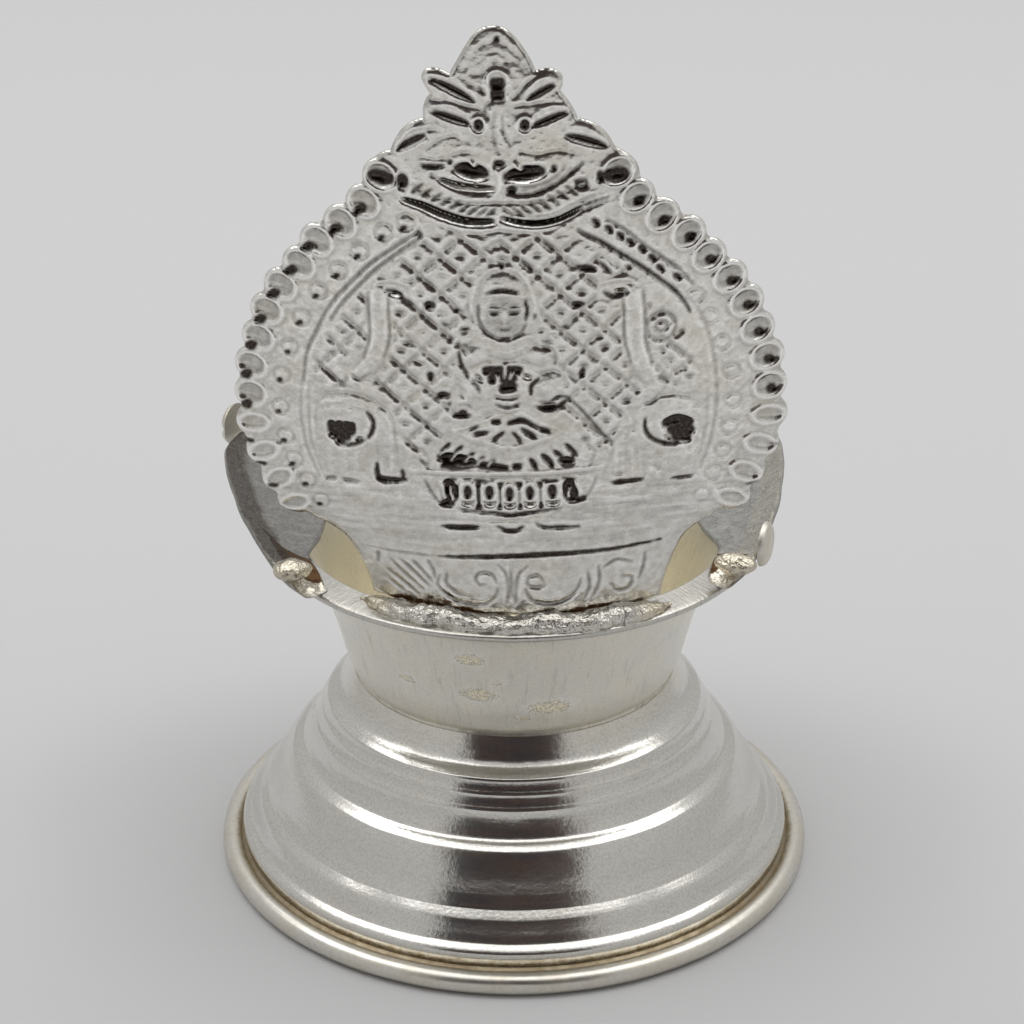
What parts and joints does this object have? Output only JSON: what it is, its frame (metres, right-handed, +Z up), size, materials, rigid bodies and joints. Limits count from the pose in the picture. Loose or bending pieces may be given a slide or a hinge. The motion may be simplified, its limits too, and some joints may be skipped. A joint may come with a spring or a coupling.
{
  "type": "votive oil lamp",
  "caption": "Small silver oil lamp with a stepped foot, a flared oil cup, a leaf-shaped spout tray and an embossed back plate.",
  "frame": {"origin": "centre of the foot ring on the surface that the lamp stands on", "axes": "+Z up along the foot's turning axis, +Y towards the spout, the back plate stands on the -Y side"},
  "size_m": [0.0416, 0.0416, 0.0607],
  "materials": {
    "polished_silver": "polished spun silver with fine scratches",
    "embossed_silver": "bright pressed silver sheet",
    "warm_silver": "dull bright silver, slightly creamy",
    "matte_silver": "rough grey pickled silver",
    "bright_solder": "lumpy bright solder with brown flux",
    "flux_solder": "yellow-brown flux and solder"
  },
  "bodies": {
    "root": {"base_ring": "polished_silver", "base_ring_solder": "flux_solder", "foot_skirt": "polished_silver", "cup": "warm_silver", "cup_seam_solder": "flux_solder", "spout_tray": "matte_silver", "tray_solder_left": "bright_solder", "tray_solder_right": "bright_solder", "roundel_left": "polished_silver", "roundel_right": "polished_silver", "back_plate": "embossed_silver", "plate_solder": "bright_solder"}
  },
  "joints": []
}
